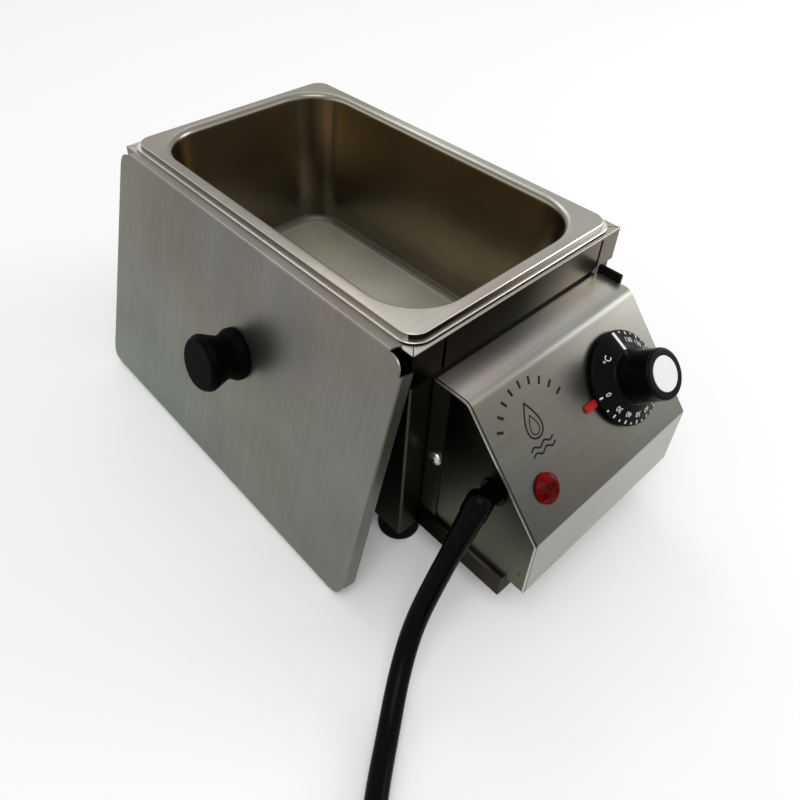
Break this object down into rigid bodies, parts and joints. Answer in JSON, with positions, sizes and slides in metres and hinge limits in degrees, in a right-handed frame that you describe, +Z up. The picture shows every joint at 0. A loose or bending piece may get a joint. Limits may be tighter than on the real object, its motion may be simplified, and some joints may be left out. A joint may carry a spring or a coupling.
{
  "type": "chocolate melter",
  "caption": "Tabletop chocolate melter: steel casing with a lift-out pan, sloping thermostat box on its end, loose flanged lid with a knob, and a mains lead.",
  "frame": {"origin": "on the table under the middle of the casing", "axes": "+Z up, -Y towards the control box, +X to the right of someone facing the controls"},
  "size_m": [0.354, 0.5394, 0.16],
  "materials": {
    "casing_steel": "fine brushed, satin",
    "control_steel": "fine brushed, satin",
    "pan_steel": "deep drawn, satin to bright",
    "lid_steel": "fine brushed, satin",
    "well_steel": "mill finish",
    "element_sheath": "heat-darkened alloy sheath",
    "blanket": "felted ceramic wool",
    "zinc_steel": "bright zinc plate",
    "foot_rubber": "matt black",
    "cord_rubber": "smooth black",
    "dial_bakelite": "black, half gloss",
    "disc_white": "white",
    "knob_bakelite": "black, gloss",
    "pointer_red": "red",
    "lens_red": "translucent red",
    "switch_plastic": "black moulding",
    "terminal_plastic": "cream moulding",
    "copper_line": "drawn copper",
    "brass_pins": "nickelled brass",
    "tie_nylon": "black strap"
  },
  "bodies": {
    "root": {"top_cap": "casing_steel", "casing_shell": "casing_steel", "base_plate": "casing_steel", "support_channel": "casing_steel", "mounting_frame": "casing_steel", "control_cover": "control_steel", "control_cheek_left": "control_steel", "control_cheek_right": "control_steel", "control_floor": "control_steel", "inner_tank": "well_steel", "heater_straps": "well_steel", "heating_element": "element_sheath", "insulation_blanket": "blanket", "foot_screws": "zinc_steel", "frame_screws": "zinc_steel", "neck_screws": "zinc_steel", "thermostat_screws": "zinc_steel", "pilot_lamp_nut": "zinc_steel", "rubber_foot_front_left": "foot_rubber", "rubber_foot_front_right": "foot_rubber", "rubber_foot_rear_left": "foot_rubber", "rubber_foot_rear_right": "foot_rubber", "edge_trim": "foot_rubber", "supply_cord": "cord_rubber", "cord_coil": "cord_rubber", "strain_relief": "cord_rubber", "mains_plug": "cord_rubber", "dial_pointer": "pointer_red", "pilot_lamp_lens": "lens_red", "thermostat_body": "switch_plastic", "pilot_lamp_body": "switch_plastic", "terminal_block": "terminal_plastic", "thermostat_capillary": "copper_line", "plug_pins": "brass_pins", "cord_tie": "tie_nylon"},
    "dial": {"thermostat_shaft": "zinc_steel", "dial_knob": "dial_bakelite", "dial_disc": "disc_white"},
    "pan": {"food_pan": "pan_steel"},
    "lid": {"lid_tray": "lid_steel", "lid_knob": "knob_bakelite", "lid_knob_screw": "zinc_steel"}
  },
  "joints": [
    {"name": "thermostat_turn", "type": "hinge", "parent": "root", "child": "dial", "pos_m": [0.032, -0.18251, 0.10559], "axis": [0, 0.7483, -0.6633], "range_deg": [0, 270]},
    {"name": "pan_lift", "type": "slide", "parent": "root", "child": "pan", "axis": [0, 0, 1], "range_m": [0, 0.12]},
    {"name": "lid_lift", "type": "slide", "parent": "root", "child": "lid", "axis": [0, 0, 1], "range_m": [0, 0.2]}
  ]
}
